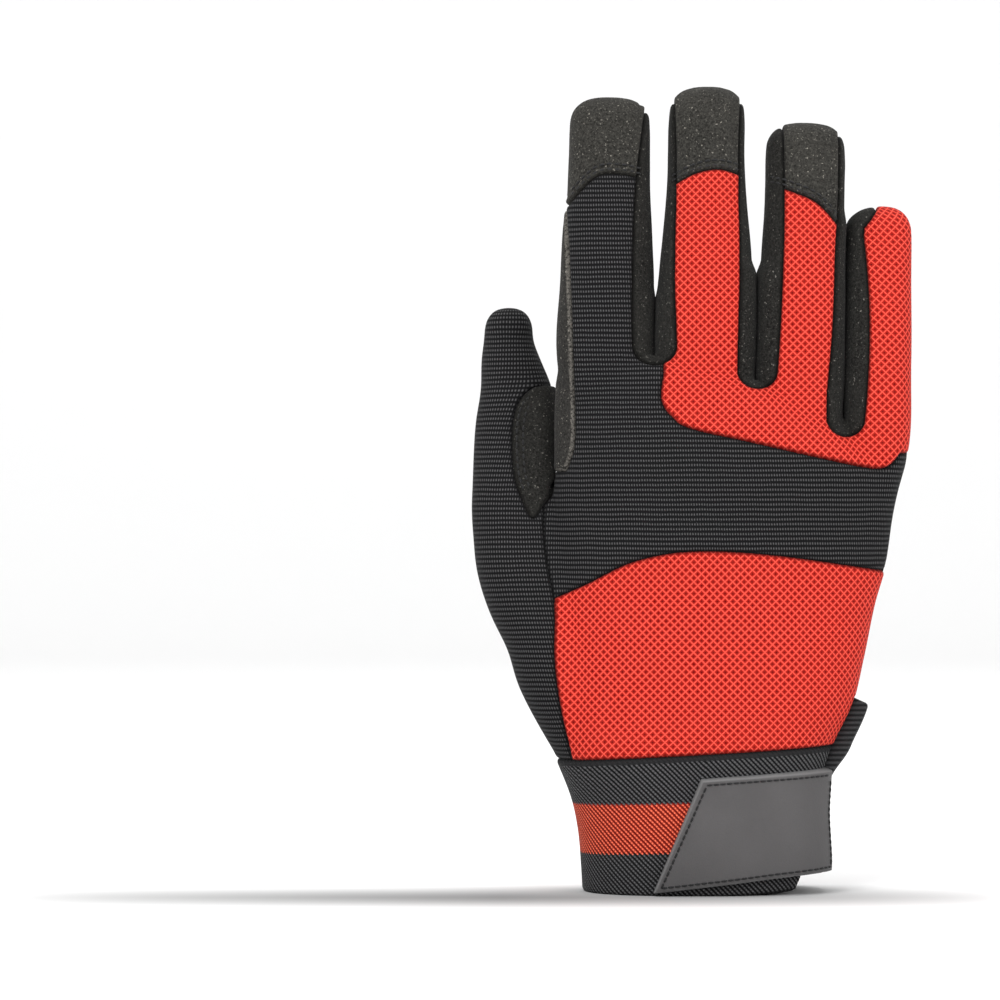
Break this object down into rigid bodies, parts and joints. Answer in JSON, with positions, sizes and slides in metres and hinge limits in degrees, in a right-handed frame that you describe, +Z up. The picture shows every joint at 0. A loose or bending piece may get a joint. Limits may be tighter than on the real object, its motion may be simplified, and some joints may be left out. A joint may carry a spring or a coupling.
{
  "type": "mechanic glove",
  "caption": "Right-hand work glove with suede palm, ribbed knit and red padded net back, elastic cuff with a red stripe, side vent and strap tab.",
  "frame": {"origin": "middle of the cuff's opening at the wrist, level with the cuff's lowest edge", "axes": "+Z up from the cuff to the fingertips, +X towards the little finger, -Y out of the back of the hand"},
  "size_m": [0.1359, 0.0673, 0.2454],
  "materials": {
    "suede_palm": "matt black synthetic suede, fine fuzzy nap with pale specks",
    "suede_trim": "matt charcoal synthetic suede, fine nap",
    "side_strip": "matt black stretch side strips",
    "rib_knit": "black knit with fine ribs across the fingers, slight sheen on the loops",
    "red_net": "bright red padded net, diamond mesh over a deeper red ground",
    "cuff_elastic": "black woven elastic with a diagonal twill and a wide red stripe",
    "binding": "black ribbed elastic binding and strap tape",
    "coated_tab": "smooth grey coated tab, satin, stitched round its edge"
  },
  "bodies": {
    "root": {"palm_panel": "suede_palm", "index_tip_cap": "suede_trim", "middle_tip_cap": "suede_trim", "middle_tip_pad": "suede_trim", "ring_tip_cap": "suede_trim", "index_side_panel": "suede_trim", "thumb_crotch_patch": "suede_trim", "fourchette_index_middle": "side_strip", "fourchette_middle_ring": "side_strip", "fourchette_ring_little": "side_strip", "thumb_back_panel": "rib_knit", "back_knit_panel": "rib_knit", "knuckle_mesh_panel": "red_net", "hand_back_mesh_panel": "red_net", "cuff_elastic": "cuff_elastic", "vent_gusset": "binding", "wrist_strap": "binding", "strap_tab": "coated_tab"}
  },
  "joints": []
}
